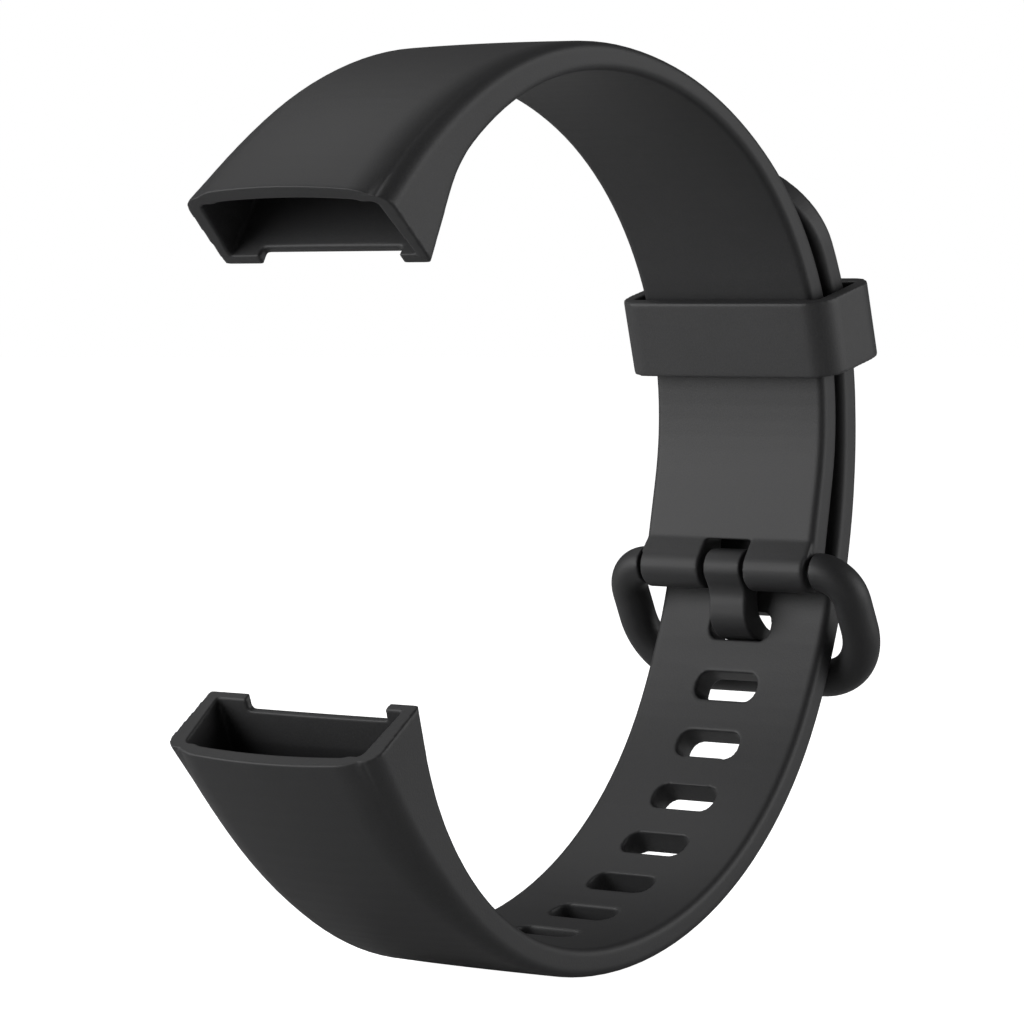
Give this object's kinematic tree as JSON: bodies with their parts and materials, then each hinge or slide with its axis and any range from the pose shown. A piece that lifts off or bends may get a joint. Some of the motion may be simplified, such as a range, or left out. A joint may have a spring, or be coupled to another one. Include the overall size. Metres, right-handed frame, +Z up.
{
  "type": "fitness tracker band",
  "caption": "Two-piece soft strap for a fitness tracker, buckled into an upright loop, with a swinging frame and tongue buckle, a sliding keeper and hollow sockets for the tracker.",
  "frame": {"origin": "on the ground plane below the middle of the whole band, at the lowest point of the buckled loop", "axes": "+Z up; X runs from the tracker's side (-X) to the buckle's side (+X); Y is the axis of the loop, along the wrist"},
  "size_m": [0.0642, 0.0246, 0.069],
  "materials": {
    "strap_rubber": "matte, fine moulded grain",
    "keeper_rubber": "matte, fine moulded grain",
    "buckle_plastic": "matte black, fine texture",
    "spring_bar_steel": "drawn steel"
  },
  "bodies": {
    "straps": {"buckle_strap": "strap_rubber", "hole_strap": "strap_rubber"},
    "keeper": {"keeper_loop": "keeper_rubber"},
    "frame": {"buckle_frame": "buckle_plastic"},
    "tongue": {"buckle_tongue": "buckle_plastic"},
    "spring_bar": {"spring_bar_tube": "spring_bar_steel", "spring_bar_coil": "spring_bar_steel"},
    "tip_far": {"spring_bar_tip_far": "spring_bar_steel"},
    "tip_near": {"spring_bar_tip_near": "spring_bar_steel"}
  },
  "joints": [
    {"name": "keeper_slide", "type": "hinge", "parent": "straps", "child": "keeper", "pos_m": [0.00017, 0, 0.04062], "axis": [0, -1, 0], "range_deg": [-7, 17]},
    {"name": "frame_swing", "type": "hinge", "parent": "straps", "child": "frame", "pos_m": [0.02502, 0, 0.02872], "axis": [0, -1, 0], "range_deg": [0, 80]},
    {"name": "tongue_swing", "type": "hinge", "parent": "straps", "child": "tongue", "pos_m": [0.02502, 0, 0.02872], "axis": [0, -1, 0], "range_deg": [0, 2.5]},
    {"name": "bar_spin", "type": "hinge", "parent": "straps", "child": "spring_bar", "pos_m": [0.02502, 0, 0.02872], "axis": [0, 1, 0], "continuous": true},
    {"name": "tip_far_press", "type": "slide", "parent": "spring_bar", "child": "tip_far", "axis": [0, -1, 0], "range_m": [0, 0.0008], "stiffness_N_per_m": 300, "springref_m": -0.0006, "deforming": ["spring_bar_coil"]},
    {"name": "tip_near_press", "type": "slide", "parent": "spring_bar", "child": "tip_near", "axis": [0, 1, 0], "range_m": [0, 0.0008], "stiffness_N_per_m": 300, "springref_m": -0.0006, "deforming": ["spring_bar_coil"]}
  ]
}
